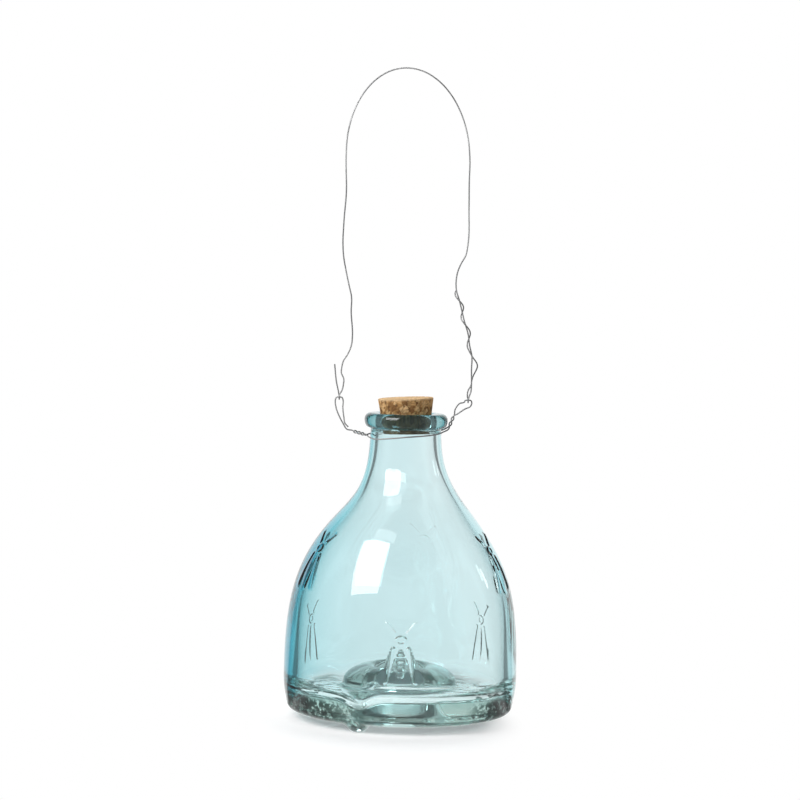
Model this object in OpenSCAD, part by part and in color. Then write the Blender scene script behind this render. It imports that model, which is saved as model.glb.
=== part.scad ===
// Hanging glass fly trap: a thick blown bottle on three feet, with an entry funnel risen from its
// base, insects in low relief on its wall, a cork in its mouth, a wire collar with two twisted ears
// round its neck and a wire bail hooked into the ears.
// Millimetres, +Z up. The origin is on the table, under the middle of the bottle, and -Y is the front.

/* [Bottle] */
// Widest diameter of the body
belly_d = 130; // [116:1:144]
// Height of the widest place
belly_z = 24; // [20:1:34]
// Height of the lip's top above the table
glass_h = 170; // [162:1:190]
// Diameter where the wall turns under into the base
heel_d = 126.4; // [112:0.2:128]
// Rounding between the wall and the underside
heel_round = 5; // [3:0.5:7]
// Clear height under the base
base_lift = 4; // [3:0.5:6]
// Thickness of the base
base_t = 10.5; // [8:0.5:13]
// Wall thickness at the belly
belly_wall = 7; // [4:0.5:9]
// Wall thickness where the shoulder turns into the neck
shoulder_wall = 4.2; // [3:0.1:6]
// Wall thickness of the neck
neck_wall = 4.2; // [3:0.1:5]
// Diameter where the shoulder turns into the neck
shoulder_d = 76.4; // [70:0.2:84]
// Height where the shoulder turns into the neck
shoulder_z = 113; // [106:1:120]
// Slope of the outline there, from upright
shoulder_lean = 40; // [32:1:48]
// Outer diameter of the neck
neck_d = 39.4; // [36:0.2:43]

/* [Lip] */
// Diameter of the lip's bead
lip_d = 46.4; // [44:0.2:52]
// Height of the bead, from its underside to its top
lip_h = 8.4; // [7:0.2:11]
// Rounding of the bead's top edge
lip_round = 3.5; // [2:0.1:4]
// Bore of the mouth
mouth_d = 28.6; // [24:0.2:30]
// Rounding of the mouth's edge
mouth_round = 2; // [1:0.1:2.4]
// Length of the straight bore below the lip's top
mouth_depth = 12; // [10:0.5:16]

/* [Entry funnel] */
// Height of the funnel's dome above the floor
funnel_h = 14; // [11:0.5:18]
// Bore at the funnel's top
throat_d = 26; // [20:0.5:32]
// Thickness of the funnel's rounded rim
funnel_rim = 7.6; // [5:0.2:9]
// Diameter of the funnel's dome
dome_d = 63.2; // [58:0.2:70]
// Rounding between the dome and the floor
dome_foot = 3.2; // [2:0.2:5]
// Opening of the funnel at the underside
entry_d = 46; // [40:1:52]
// Rise of the underside from the heel to the entry
under_rise = 2.5; // [1:0.5:4]
// Rounding between the floor and the wall
floor_round = 10; // [5:0.5:11]

/* [Feet] */
// Number of feet
foot_count = 3; // [3:1:4]
// Diameter of a foot where it leaves the base
foot_d = 13.6; // [10:0.2:16]
// Flat pad under a foot
pad_d = 6; // [4:0.5:8]
// Circle on which the feet stand
foot_circle_d = 109; // [96:1:110]
// Turn of the first foot from the front
foot_turn = -24; // [-60:1:60]

/* [Insects] */
// Height of the relief
relief = 0.8; // [0.4:0.1:1.2]
// Length of an insect from its head to its wing tips
insect_l = 23; // [18:0.5:26]
// Height of the heads in the lower row
low_row_z = 49; // [46:1:54]
// Height of the heads in the upper row
high_row_z = 96; // [92:1:100]
// Lean of the upper row with the shoulder
high_row_lean = 31; // [25:1:37]

/* [Cork] */
// Length of the cork
cork_h = 19.5; // [15:0.5:24]
// Length of the cork above the lip
cork_proud = 8.5; // [5:0.5:11]
// Taper of the cork's side
cork_taper = 7.4; // [4:0.2:9]
// Lean of the cork in the mouth
cork_lean = 3; // [0:0.5:4]
// Rounding cut off the cork's edges
cork_edge = 0.6; // [0.3:0.1:1]
// Clearance between cork and mouth
cork_fit = 0.25; // [0.2:0.05:0.4]

/* [Wires] */
// Thickness of both wires
wire_d = 0.8; // [0.7:0.05:1]
// Clearance of the collar round the neck
collar_fit = 0.3; // [0.3:0.05:0.8]
// Depth of the collar below the lip's top
collar_drop = 13; // [12:0.5:15]
// Reach of the left ear from the bottle's axis
left_reach = 37.5; // [36:0.5:44]
// Reach of the right ear from the bottle's axis
right_reach = 34.2; // [33.2:0.5:40.2]
// Height of both ears above the lip
ear_rise = 8; // [6:0.5:12]
// Radius of the left hook round its ear
hook_r = 1.2; // [1.1:0.05:1.4]
// Radius of the right loop round its ear
loop_r = 1.3; // [1.15:0.05:1.5]
// Space from strand to strand in a twist
strand_gap = 0.5; // [0.45:0.05:0.7]
// Height of the bail above the ears
bail_h = 183; // [170:0.5:210]
// Height of the bail's round arch
arch_h = 49; // [40:0.5:60]
// Height above the ears where the end is wound off
wind_top = 61; // [56:1:70]
// Half turns of the wound end
wind_half_turns = 6; // [4:1:7]

/* [Hidden] */
$fn = 64;

// Shared functions
function unit(v) = v / norm(v);

function bezier(p0, p1, p2, p3, n) =
    [for (i = [1:n]) let (t = i / n, s = 1 - t)
        s * s * s * p0 + 3 * s * s * t * p1 + 3 * s * t * t * p2 + t * t * t * p3];

function arc(centre, r, from, to, n) =
    [for (i = [1:n]) let (a = from + (to - from) * i / n) centre + r * [cos(a), sin(a)]];

// Slope of a smooth curve at one of its points
function slope(p, i) =
    i == 0 ? unit(p[1] - p[0]) :
    i == len(p) - 1 ? unit(p[i] - p[i - 1]) :
    let (u = norm(p[i] - p[i - 1]), v = norm(p[i + 1] - p[i]))
        ((p[i + 1] - p[i]) * u / v + (p[i] - p[i - 1]) * v / u) / (u + v);

// Smooth curve through points, with a point at least every step
function smooth(p, step) = concat(
    [for (i = [0:len(p) - 2])
        let (h = norm(p[i + 1] - p[i]), n = ceil(h / step), a = slope(p, i) * h, b = slope(p, i + 1) * h)
            for (k = [0:n - 1]) let (t = k / n)
                p[i] * (1 + 2 * t) * (1 - t) * (1 - t) + a * t * (1 - t) * (1 - t)
                    + p[i + 1] * t * t * (3 - 2 * t) - b * t * t * (1 - t)],
    [p[len(p) - 1]]);

function tangents(p) =
    [for (i = [0:len(p) - 1]) unit(p[min(i + 1, len(p) - 1)] - p[max(i - 1, 0)])];

// Directions across a wire that don't turn about it along the way
function across(t) =
    [for (i = 0, u = unit(cross(t[0], [1, 2, 0]));
        i < len(t);
        i = i + 1, u = i < len(t) ? unit(u - (u * t[i]) * t[i]) : u) u];

// Least gap of a wire to itself, measured on points that lie further apart than reach along it
function least_gap(p, d, step, reach) = let (n = ceil(reach / step))
    min([for (i = [0:len(p) - 1]) for (j = [i + n:1:len(p) - 1]) norm(p[i] - p[j])]) - d;

// Round wire along a path, closed at both ends
module wire(path, d, sides = 8) {
    t = tangents(path);
    u = across(t);
    last = len(path) - 1;
    points = [for (i = [0:last]) for (k = [0:sides - 1])
        let (a = 360 * k / sides) path[i] + d / 2 * (cos(a) * u[i] + sin(a) * cross(t[i], u[i]))];
    walls = [for (i = [0:last - 1]) for (k = [0:sides - 1])
        let (m = (k + 1) % sides, a = i * sides + k, b = i * sides + m)
            each [[a, a + sides, b], [b, a + sides, b + sides]]];
    caps = [for (k = [1:sides - 2]) each [[0, k, k + 1],
        [last * sides, last * sides + k + 1, last * sides + k]]];
    polyhedron(points, concat(walls, caps));
}

// Heights and radii of the bottle
belly_r = belly_d / 2;
heel_r = heel_d / 2;
neck_r = neck_d / 2;
lip_r = lip_d / 2;
mouth_r = mouth_d / 2;
floor_z = base_lift + base_t;
under_z = base_lift + under_rise;
lip_low_z = glass_h - lip_h;
lip_mid_z = glass_h - lip_round;
neck_bore_r = neck_r - neck_wall;
chamber_r = belly_r - belly_wall;
funnel_z = floor_z + funnel_h;
dome_r = dome_d / 2;
rim_r = funnel_rim / 2;
rim_mid_r = throat_d / 2 + rim_r;
curve_steps = 14;

// Places of the insects round the bottle, from the front, and how far each sits above its row
low_row = [[0, 2.5], [128, -1.5], [242, -1.5]];
high_row = [[71, 0], [165, 0], [295, 0]];

// Where the shoulder turns into the neck, outside and inside
turn_along = [-sin(shoulder_lean), cos(shoulder_lean)];
turn_inward = [-cos(shoulder_lean), -sin(shoulder_lean)];
turn_out = [shoulder_d / 2, shoulder_z];
turn_in = turn_out + shoulder_wall * turn_inward;

// Handles of the outline's curves
belly_pull = 0.48 * (shoulder_z - belly_z);
shoulder_pull = 0.39 * (shoulder_z - belly_z);
throat_pull = 0.31 * (lip_low_z - shoulder_z);
neck_pull = 0.58 * (lip_low_z - shoulder_z);

// Outline of the wall from the heel to the neck, moved outwards by out
function wall_outline(out) = concat(
    [[heel_r + out, base_lift + heel_round]],
    bezier([heel_r + out, base_lift + heel_round], [heel_r + out + 1, base_lift + heel_round + 5],
        [belly_r + out, belly_z - 7], [belly_r + out, belly_z], 6),
    bezier([belly_r + out, belly_z], [belly_r + out, belly_z + belly_pull],
        turn_out - out * turn_inward - shoulder_pull * turn_along, turn_out - out * turn_inward, curve_steps),
    bezier(turn_out - out * turn_inward, turn_out - out * turn_inward + throat_pull * turn_along,
        [neck_r + out, lip_low_z - neck_pull], [neck_r + out, lip_low_z], curve_steps));

// Outer radius of the wall at a height
function wall_r(z) = lookup(z, [for (p = wall_outline(0)) [p[1], p[0]]]);

// Section of the glass, from the entry's edge outwards, up, over the lip and back down inside
glass_section = concat(
    [[entry_d / 2, under_z], [heel_r - heel_round, base_lift]],
    arc([heel_r - heel_round, base_lift + heel_round], heel_round, -90, -15, 5),
    wall_outline(0),
    bezier([neck_r, lip_low_z], [neck_r + 0.7 * (lip_r - neck_r), lip_low_z],
        [lip_r, lip_mid_z - 0.55 * (lip_h - lip_round)], [lip_r, lip_mid_z], 7),
    arc([lip_r - lip_round, lip_mid_z], lip_round, 0, 90, 7),
    [[mouth_r + mouth_round, glass_h]],
    arc([mouth_r + mouth_round, glass_h - mouth_round], mouth_round, 90, 180, 5),
    [[mouth_r, glass_h - mouth_depth], [neck_bore_r, glass_h - mouth_depth - 4]],
    bezier([neck_bore_r, glass_h - mouth_depth - 4], [neck_bore_r, lip_low_z - neck_pull],
        turn_in + throat_pull * turn_along, turn_in, curve_steps),
    bezier(turn_in, turn_in - shoulder_pull * turn_along,
        [chamber_r, belly_z + belly_pull], [chamber_r, belly_z + floor_round], curve_steps),
    [[chamber_r, floor_z + floor_round]],
    arc([chamber_r - floor_round, floor_z + floor_round], floor_round, 0, -90, 6),
    [[dome_r + dome_foot, floor_z]],
    bezier([dome_r + dome_foot, floor_z], [dome_r + 0.4 * dome_foot, floor_z],
        [dome_r, floor_z + 0.4 * dome_foot], [dome_r, floor_z + dome_foot], 4),
    bezier([dome_r, floor_z + dome_foot], [dome_r - 0.6, funnel_z - 4],
        [dome_r - 7.5, funnel_z], [rim_mid_r, funnel_z], 8),
    arc([rim_mid_r, funnel_z - rim_r], rim_r, 90, 180, 6),
    bezier([throat_d / 2, funnel_z - rim_r], [throat_d / 2, funnel_z - rim_r - 8],
        [entry_d / 2 - 7, under_z], [entry_d / 2, under_z], 9));

// Foot: a short round nub with a flat pad, its upper half inside the base
module foot() {
    nub_z = base_lift + 2;
    rotate_extrude()
        polygon(concat([[0, nub_z + 1.5], [0, 0], [pad_d / 2, 0]],
            bezier([pad_d / 2, 0], [pad_d / 2 + 1.6, 0], [foot_d / 2, nub_z - 3], [foot_d / 2, nub_z], 6),
            [[foot_d / 2 - 2, nub_z + 1.5]]));
}

// Drop from the origin down to its tip, round at both ends
module drop(length, root_d, tip_d) {
    polygon(concat(arc([0, 0], root_d / 2, 0, 180, 8), arc([0, -length], tip_d / 2, 180, 360, 8)));
}

// Outline of an insect, with its head at the origin and its wings downwards
module insect_outline() {
    circle(r = insect_l * 0.12);
    translate([0, -insect_l * 0.3])
        drop(insect_l * 0.55, insect_l * 0.2, insect_l * 0.22);
    for (s = [-1, 1]) {
        translate([s * insect_l * 0.18, -insect_l * 0.19])
            rotate(s * 14)
                drop(insect_l * 0.79, insect_l * 0.087, insect_l * 0.152);
        translate([s * insect_l * 0.15, insect_l * 0.17])
            rotate(-s * 38)
                translate([-0.6, 0])
                    square([1.2, insect_l * 0.29]);
    }
}

// Insect standing proud of the wall, at an angle from the front
module insect(angle, z, lean) {
    depth = 14;
    rotate([0, 0, angle])
        translate([0, -wall_r(z), z])
            rotate([90 - lean, 0, 0])
                linear_extrude(height = depth, center = true)
                    insect_outline();
}

// Layer of the wall that carries the relief
module relief_layer() {
    inner = wall_outline(-1.5);
    rotate_extrude()
        polygon(concat(wall_outline(relief), [for (i = [len(inner) - 1:-1:0]) inner[i]]));
}

module glass_bottle() {
    color("#a9d2e4") {
        rotate_extrude()
            polygon(glass_section);
        intersection() {
            relief_layer();
            union() {
                for (place = low_row)
                    insect(place[0], low_row_z + place[1], 0);
                for (place = high_row)
                    insect(place[0], high_row_z + place[1], high_row_lean);
            }
        }
        for (i = [0:foot_count - 1])
            rotate([0, 0, foot_turn + i * 360 / foot_count])
                translate([0, -foot_circle_d / 2, 0])
                    foot();
    }
}

// Cork: a taper whose side meets the mouth's edge, leaning a little to the left
module cork_stopper() {
    seat_z = glass_h - mouth_round;
    top = cork_proud + mouth_round;
    bottom = top - cork_h;
    top_r = mouth_r - cork_fit + top * tan(cork_taper);
    bottom_r = mouth_r - cork_fit + bottom * tan(cork_taper);
    color("#b98d5c")
        translate([0, 0, seat_z])
            rotate([0, -cork_lean, 0])
                rotate_extrude()
                    polygon([[0, bottom], [bottom_r - cork_edge, bottom], [bottom_r, bottom + cork_edge],
                        [top_r, top - cork_edge], [top_r - cork_edge, top], [0, top]]);
}

// Places of the wires
collar_z = glass_h - collar_drop;
collar_r = wall_r(collar_z - 1.2) + collar_fit + wire_d / 2;
ear_z = glass_h + ear_rise;
twist_r = (wire_d + strand_gap) / 2;
pin_half = 1.1;
bearing_d = wire_d + 0.04;
collar_step = 3;
route_step = 5;

function on_collar(angle, lift, out = 0) =
    [(collar_r + out) * cos(angle), (collar_r + out) * sin(angle), collar_z + lift];

// Strand of a two-wire twist from one point to another; phase 0 starts at the back
function strand(from, to, phase, turns, n) =
    let (along = unit(to - from), side = [0, 1, 0], lift = cross(side, along))
        [for (i = [0:n]) let (t = i / n, a = phase + 360 * turns * t)
            from + (to - from) * t + twist_r * (cos(a) * side + sin(a) * lift)];

// Tip of an ear: a straight pin on the bail's axis with rounded corners, from left to right
function ear_tip(x) = [for (s = [-1, 1]) for (q = s < 0 ? [0:3] : [3:-1:0])
    [x + s * (pin_half + [0.9, 0.6, 0, -0.4][q]), 0, ear_z - [1, 0.3, 0, 0][q]]];

left_from = [-collar_r - 2.6, 0, collar_z + 0.6];
left_to = [-collar_r - 8.6, 0, collar_z + 2.2];
right_from = [lip_r + 0.9, 0, lip_low_z + 1.6];
right_to = [lip_r + 3.1, 0, lip_low_z + 7.2];
tip_left = -left_reach;
tip_right = right_reach;

// Route of the neck wire: left twist, round the back, right ear, round the front, left ear
neck_route = concat(
    strand(left_to, left_from, 180, 1.5, 14),
    [on_collar(166, 0.7, 0.6), on_collar(148, 1), on_collar(120, 1.6), on_collar(90, 2), on_collar(60, 2.4),
        on_collar(35, 3), on_collar(16, 3.6, 0.4)],
    strand(right_from, right_to, 0, 1, 10),
    [[lip_r + 3.9, 0.5, ear_z - 5.4], [tip_right - 4.6, 0.2, ear_z - 1.9]],
    ear_tip(tip_right),
    [[tip_right + 1.5, 0, ear_z - 3.2], [tip_right - 1.8, -0.2, ear_z - 5],
        [lip_r + 5.2, -0.5, ear_z - 7.8]],
    [for (i = [10:-1:0]) strand(right_from, right_to, 180, 1, 10)[i]],
    [on_collar(-16, 3, 0.4), on_collar(-35, 2.2), on_collar(-60, 1.6), on_collar(-90, 0.8),
        on_collar(-120, -0.4), on_collar(-148, -1.2), on_collar(-166, -0.4, 0.6)],
    strand(left_from, left_to, 180, 1.5, 14),
    [[tip_left + 4.6, 0.7, ear_z - 17.8], [tip_left + 2.4, 0.65, ear_z - 14.6],
        [tip_left + 0.4, 0.4, ear_z - 11], [tip_left - 1.6, 0.1, ear_z - 6]],
    ear_tip(tip_left),
    [[tip_left + 2.1, -0.1, ear_z - 6], [tip_left + 2.8, -0.5, ear_z - 11],
        [tip_left + 3.6, -0.65, ear_z - 14.6], [tip_left + 5.4, -0.6, ear_z - 16.4]]);

module neck_wire() {
    path = smooth(neck_route, collar_step);
    fine = smooth(neck_route, 0.5);
    echo(str("Neck wire, least gap to itself: ", least_gap(fine, wire_d, 0.5, 5), " mm"));
    color("#8d9297") {
        wire(path, wire_d);
        for (x = [tip_left, tip_right])
            translate([x, 0, ear_z])
                rotate([0, 90, 0])
                    cylinder(d = bearing_d, h = 2 * pin_half, center = true);
    }
}

// Turn of the bail round an ear's pin, from the front under it to the back
function hook(x, r) = [for (a = [0:30:180]) [x, -r * cos(a), ear_z - r * sin(a)]];

// Left leg, from the hook up: distance from the ear, sideways and up
left_leg = [[1.3, 3.5], [2.1, 7], [2.3, 10], [0.8, 13.7], [1, 16.5], [2, 20.6], [3.6, 23], [6.2, 29.7],
    [6.5, 34], [5.5, 47.7], [5.4, 56.6], [4.3, 61], [2.2, 70], [0.5, 79], [0.1, 84], [0.3, 97], [1.3, 115],
    [0.8, 128]];
// Right leg, from the arch down to the loop
right_leg = [[-2.5, 121], [-2.3, 107.5], [-2.5, 85], [-3.3, 80.5], [-5.7, 76], [-7.5, 71.5], [-8.3, 67],
    [-8.1, 61], [-6.2, 55], [-4.7, 49.3], [-3.2, 43.8], [-0.9, 36.4], [0, 30.6], [1.4, 24.8], [1.4, 17],
    [1.6, 9], [1.3, 4.5]];
// The tail, from its end down to the hook
tail = [[-3, 18.3], [-1.8, 8.5]];

function at_left(p, y = 0) = [tip_left + p[0], y, ear_z + p[1]];
function at_right(p, y = 0) = [tip_right + p[0], y, ear_z + p[1]];

arch_left = tip_left + 0.7;
arch_right = tip_right - 2.5;
arch_z = ear_z + bail_h - arch_h;
arch_sway = -1.5;
arch = [for (a = [180:-15:0]) [(arch_left + arch_right) / 2 + (arch_right - arch_left) / 2 * cos(a)
    + arch_sway * sin(a), 0, arch_z + arch_h * sin(a)]];

// The end wound round the right leg, wide in its first half turn
leg_line = smooth([for (i = [len(right_leg) - 2:-1:5]) at_right(right_leg[i])], 1);
wind_from = 9;
wind_bulge = 1.8;
wind_r = 1.08 * (wire_d + strand_gap);
function leg_at(z) = lookup(z, [for (p = leg_line) [p[2], p[0]]]);
wound_end = [for (i = [0:6 * wind_half_turns])
    let (t = i / (6 * wind_half_turns), z = ear_z + wind_from + (wind_top - wind_from) * t,
        a = 180 * wind_half_turns * pow(t, 1.5),
        r = wind_r + (a < 180 ? wind_bulge * sin(a) : 0))
            [leg_at(z) + r * sin(a), r * cos(a), z]];

bail_route = concat(
    [at_left(tail[0], 0.6), at_left(tail[1], 0.6), at_left([-0.3, 1.8], 0.9)],
    [for (i = [6:-1:0]) hook(tip_left, hook_r)[i]],
    [at_left([0.3, 1.8], -0.9), at_left(left_leg[0], -0.4)],
    [for (i = [1:len(left_leg) - 1]) at_left(left_leg[i])],
    arch,
    [for (i = [0:len(right_leg) - 2]) at_right(right_leg[i])],
    [at_right(right_leg[len(right_leg) - 1], -0.5), at_right([0.4, 1.8], -1)],
    hook(tip_right, loop_r),
    [at_right([-0.4, 1.8], 1), at_right([-0.4, 4.5], 0.7)],
    wound_end);

module hanging_wire() {
    path = smooth(bail_route, route_step);
    fine = smooth(bail_route, 0.5);
    echo(str("Hanging wire, least gap to itself: ", least_gap(fine, wire_d, 0.5, 5), " mm"));
    color("#8d9297") {
        wire(path, wire_d);
        for (place = [[tip_left, hook_r], [tip_right, loop_r]])
            translate([place[0], 0, ear_z])
                rotate([0, 90, 0])
                    rotate([0, 0, -90])
                        rotate_extrude(angle = 180)
                            translate([place[1], 0])
                                circle(d = bearing_d);
    }
}

glass_bottle();
cork_stopper();
neck_wire();
hanging_wire();
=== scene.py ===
# %% [markdown]
# # A glass fly trap
# The trap hangs in a garden by its wire bail. Insects fly up through the funnel in the base
# after the bait, don't find the way back, and are shaken out through the neck once the cork
# is pulled. Its solids are already built at real size. This lesson dresses them: each piece
# is modelled again with finer surfaces and real finishes, exactly where its solid stands.

# %% Load the frame and keep its box
import bisect
import math
from collections import namedtuple

import bmesh
import bpy
from mathutils import Matrix, Vector, noise


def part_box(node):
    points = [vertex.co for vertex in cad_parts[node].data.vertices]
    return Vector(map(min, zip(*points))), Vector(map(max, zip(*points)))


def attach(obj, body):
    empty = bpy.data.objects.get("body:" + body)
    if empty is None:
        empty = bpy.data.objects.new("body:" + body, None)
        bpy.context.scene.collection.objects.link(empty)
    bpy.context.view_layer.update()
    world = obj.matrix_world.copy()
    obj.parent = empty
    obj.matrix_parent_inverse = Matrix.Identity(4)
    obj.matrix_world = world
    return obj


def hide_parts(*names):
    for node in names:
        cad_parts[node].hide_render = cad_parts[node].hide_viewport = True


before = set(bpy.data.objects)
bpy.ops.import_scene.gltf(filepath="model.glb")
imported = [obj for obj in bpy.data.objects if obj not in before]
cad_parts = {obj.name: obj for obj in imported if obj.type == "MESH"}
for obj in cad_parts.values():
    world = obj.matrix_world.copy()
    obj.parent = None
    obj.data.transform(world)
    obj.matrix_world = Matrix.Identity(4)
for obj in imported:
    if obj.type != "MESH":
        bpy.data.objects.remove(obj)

mm = 0.001
scene = bpy.context.scene
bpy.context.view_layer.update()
_, glass_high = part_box("glass_bottle")
print("solids:", sorted(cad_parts), "glass height:", round(glass_high.z / mm, 1), "mm")

# %% [markdown]
# ## The camera
# The picture was taken from about a metre and a half away with a long lens, a little above the
# cork and held slightly askew. A camera could be aimed with a constraint, but a plain matrix
# says the same with a few numbers: how far back, how high and how far aside it stands, how far
# it looks down and how far it is rolled. Thick glass bends a ray many times before it gets
# out, so rays may bounce more often than by default.

# %% Place the camera
image_size, sensor_width = 800, 36
pixel_at_axis = 0.5554 * mm
camera_distance = 1.494
camera_height = 255.5 * mm
camera_side = -3.7 * mm
camera_pitch = math.radians(3.0)
camera_roll = math.radians(1.4)
glass_bounces, mirror_bounces = 32, 12

camera = bpy.data.objects.new("camera", bpy.data.cameras.new("camera"))
scene.collection.objects.link(camera)
camera.data.sensor_width = sensor_width
camera.data.lens = sensor_width * camera_distance / (image_size * pixel_at_axis)
camera.matrix_world = (
    Matrix.Translation((camera_side, -camera_distance, camera_height))
    @ Matrix.Rotation(math.pi / 2 - camera_pitch, 4, "X")
    @ Matrix.Rotation(camera_roll, 4, "Z")
)
scene.camera = camera
scene.view_settings.view_transform = "Standard"
scene.cycles.max_bounces = glass_bounces
scene.cycles.transmission_bounces = glass_bounces
scene.cycles.glossy_bounces = mirror_bounces
print("lens:", round(camera.data.lens, 1), "mm")

# %% [markdown]
# ## Nodes in one call
# Every finish below is a small tree of shader nodes. Building one by hand takes three lines a
# node, so one helper adds a node, sets its options and fills its inputs: a socket is linked
# and anything else becomes the input's own value. The kinds of node that come up again and
# again get a short helper each.

# %% Helpers for shader nodes
def fill_inputs(tree, node, inputs):
    for name, value in inputs.items():
        if isinstance(value, bpy.types.NodeSocket):
            tree.links.new(value, node.inputs[name])
        else:
            node.inputs[name].default_value = value


def add_node(tree, kind, inputs=None, **options):
    made = tree.nodes.new("ShaderNode" + kind)
    for name, value in options.items():
        setattr(made, name, value)
    fill_inputs(tree, made, inputs or {})
    return made


def math_node(tree, operation, *values):
    """Result of a Math node on two or three values."""
    return add_node(tree, "Math", dict(enumerate(values)), operation=operation).outputs[0]


def vector_node(tree, operation, inputs, result="Vector"):
    """Result of a Vector Math node; a length or a dot product is its Value."""
    return add_node(tree, "VectorMath", inputs, operation=operation).outputs[result]


def step_between(tree, value, low, high, start=0.0, end=1.0):
    """Value eased from start to end while it goes from low to high."""
    inputs = {"Value": value, "From Min": low, "From Max": high, "To Min": start, "To Max": end}
    return add_node(tree, "MapRange", inputs, interpolation_type="SMOOTHSTEP").outputs[0]


def blend_colours(tree, share, first, second, how="MIX"):
    """Result of a Mix node; 6 and 7 are its two colour inputs, 2 is its colour output."""
    made = add_node(tree, "Mix", data_type="RGBA", blend_type=how)
    fill_inputs(tree, made, {0: share, 6: first, 7: second})
    return made.outputs[2]


def noise_node(tree, vector, scale, detail, roughness=0.5):
    inputs = {"Vector": vector, "Scale": scale, "Detail": detail, "Roughness": roughness}
    return add_node(tree, "TexNoise", inputs)


def layer_value(tree, name):
    """A layer of the mesh, read in a material."""
    return add_node(tree, "Attribute", attribute_name=name).outputs["Fac"]


def ray_kinds(tree):
    """Two sockets: 1 for rays from the camera, and 1 for rays that glass or metal sends on."""
    path = add_node(tree, "LightPath").outputs
    bent = math_node(tree, "MAXIMUM", path["Is Glossy Ray"], path["Is Transmission Ray"])
    return path["Is Camera Ray"], bent


def new_finish(name, inputs):
    """A material of a Principled shader, with the inputs that are even all over."""
    material = bpy.data.materials.new(name)
    material.use_nodes = True
    tree = material.node_tree
    tree.nodes.clear()
    shader = add_node(tree, "BsdfPrincipled", inputs)
    add_node(tree, "OutputMaterial", {"Surface": shader.outputs[0]})
    return material, tree, shader


# %% [markdown]
# ## The studio
# Glass shows what stands around it. In an even white room it nearly vanishes. Photographers
# set it before a bright wall of limited width: the thick rim of the glass bends the view past
# the wall's edge into the dark, and that draws its lines. So one function gives the brightness
# of the room in a direction: the bright wall, a dark gap around it, pale side walls, and the
# dim room behind the camera. The edges are in degrees off the wall's middle, and each fades
# from its first angle to its second.

# %% How bright the room is
wall_way = (0.0, 1.0, 0.0)
wall_edge, gap_edge, room_edge = (35, 43), (72, 88), (110, 130)
gap_white, side_white, room_white = 0.23, 0.8, 0.5


def cosines(angles):
    """Cosines of two angles in degrees, the smaller cosine first."""
    return sorted(math.cos(math.radians(a)) for a in angles)


def room_brightness(tree, way):
    """Brightness of the room along a direction socket."""
    ahead = vector_node(tree, "DOT_PRODUCT", {0: way, 1: wall_way}, "Value")
    bright_wall = step_between(tree, ahead, *cosines(wall_edge), gap_white, 1.0)
    sides = step_between(tree, ahead, *cosines(gap_edge), side_white, gap_white)
    room = step_between(tree, ahead, *cosines(room_edge), room_white, side_white)
    return math_node(tree, "MAXIMUM", bright_wall, math_node(tree, "MINIMUM", sides, room))


# %% [markdown]
# The world paints that room for mirror and glass rays. The camera itself sees plain white, and
# matt surfaces get an even light. The ceiling is dimmer than the walls.

# %% The world
ceiling_edge, ceiling_white = (0.55, 0.8), 0.45
room_light, room_tone, white = 0.42, (0.97, 0.985, 1.0, 1), (1, 1, 1, 1)

world = bpy.data.worlds.new("bright_wall_room")
world.use_nodes = True
scene.world = world
tree = world.node_tree
tree.nodes.clear()
way = add_node(tree, "TexCoord").outputs["Generated"]
height = add_node(tree, "SeparateXYZ", {0: way}).outputs["Z"]
ceiling = step_between(tree, height, *ceiling_edge, 1.0, ceiling_white)
painted = math_node(tree, "MULTIPLY", room_brightness(tree, way), ceiling)
for_glass = add_node(tree, "Background", {"Color": white, "Strength": painted})
ambient = add_node(tree, "Background", {"Color": room_tone, "Strength": room_light})
backdrop = add_node(tree, "Background", {"Color": white, "Strength": 1.0})
direct, bent = ray_kinds(tree)
unseen = add_node(tree, "MixShader", {0: bent, 1: ambient.outputs[0], 2: for_glass.outputs[0]})
shown = add_node(tree, "MixShader", {0: direct, 1: unseen.outputs[0], 2: backdrop.outputs[0]})
add_node(tree, "OutputWorld", {"Surface": shown.outputs[0]})
print("bright wall: full to", wall_edge[0], "degrees off its middle, dark from", wall_edge[1])

# %% [markdown]
# The trap stands near the front edge of a white table. Close to the trap the table takes its
# soft shadow. Further out it melts into the white background, so its material turns from a lit
# surface to an even white, past an oval round the trap. Mirror and glass rays see the far
# table as bright as the room in that direction, so that the glass keeps its lines down there.

# %% The table's far white
table_white, table_roughness, table_gloss = (0.82, 0.82, 0.82, 1), 0.9, 0.1
shadow_half, shadow_deep, shadow_shift, shadow_left = 0.078, 0.17, 0.02, 0.007
shadow_fade, trap_half = (0.6, 1.0), 0.055

table_finish, tree, shader = new_finish("white_table", {
    "Base Color": table_white, "Roughness": table_roughness, "Specular IOR Level": table_gloss,
})
direct, bent = ray_kinds(tree)
place = add_node(tree, "TexCoord").outputs["Object"]
oval = add_node(tree, "Mapping", {
    "Vector": place,
    "Location": (shadow_left / shadow_half, shadow_shift / shadow_deep, 0),
    "Scale": (1 / shadow_half, 1 / shadow_deep, 0),
})
reach = vector_node(tree, "LENGTH", {0: oval.outputs[0]}, "Value")
far_off = step_between(tree, reach, *shadow_fade)
spot = add_node(tree, "SeparateXYZ", {0: place}).outputs
under_trap = math_node(tree, "MINIMUM", spot["X"], trap_half)
under_trap = math_node(tree, "MAXIMUM", under_trap, -trap_half)
sideways = math_node(tree, "SUBTRACT", spot["X"], under_trap)
outward = add_node(tree, "CombineXYZ", {"X": sideways, "Y": spot["Y"]}).outputs[0]
outward = vector_node(tree, "NORMALIZE", {0: outward})
far_white = math_node(tree, "MAXIMUM", direct, room_brightness(tree, outward))
distant = add_node(tree, "Emission", {"Strength": far_white})
print("shadow kept within", shadow_half, "m to each side")

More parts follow.
